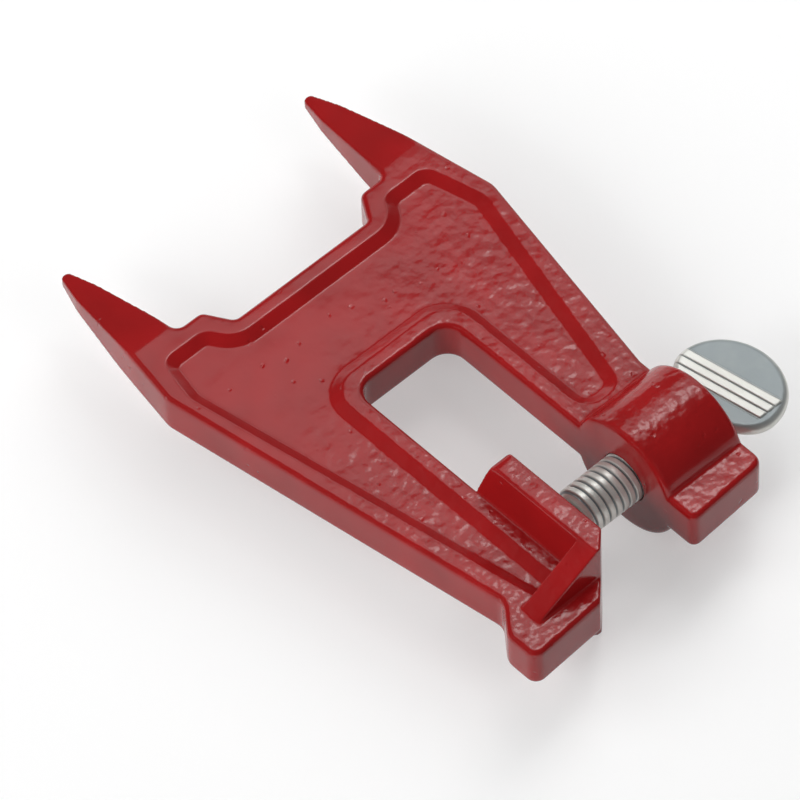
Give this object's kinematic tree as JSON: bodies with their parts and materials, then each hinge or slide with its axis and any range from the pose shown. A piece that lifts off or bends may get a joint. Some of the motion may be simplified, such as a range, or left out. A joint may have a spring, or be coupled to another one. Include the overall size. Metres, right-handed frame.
{
  "type": "chainsaw bar vise",
  "caption": "Cast stump vise: flat forked plate with wedge spikes, a fixed jaw and a thumb screw with an oval head that clamps a saw's guide bar.",
  "frame": {"origin": "on the thumb screw's axis, midway between the spikes and at the middle of the plate's thickness", "axes": "+X along the screw from the fixed jaw to the boss, +Y to the spikes' tips, +Z out of the plate's face"},
  "size_m": [0.0973, 0.1403, 0.028],
  "materials": {
    "red_paint": "glossy red paint on a rough casting",
    "zinc_plate": "bright zinc plate"
  },
  "bodies": {
    "vise_body": {"vise_body": "red_paint"},
    "swivel_pad": {"swivel_pad": "zinc_plate"},
    "thumb_screw": {"thumb_screw": "zinc_plate"}
  },
  "joints": [
    {"name": "pad_travel", "type": "slide", "parent": "vise_body", "child": "swivel_pad", "axis": [1, 0, 0], "range_m": [-0.0003, 0.0165]},
    {"name": "screw_turn", "type": "hinge", "parent": "swivel_pad", "child": "thumb_screw", "pos_m": [0, 0, 0], "axis": [1, 0, 0], "range_deg": [-60, 3275]}
  ],
  "couplings": [
    {"joint": "screw_turn", "follows": "pad_travel", "rad_per_m": 3463.2}
  ]
}
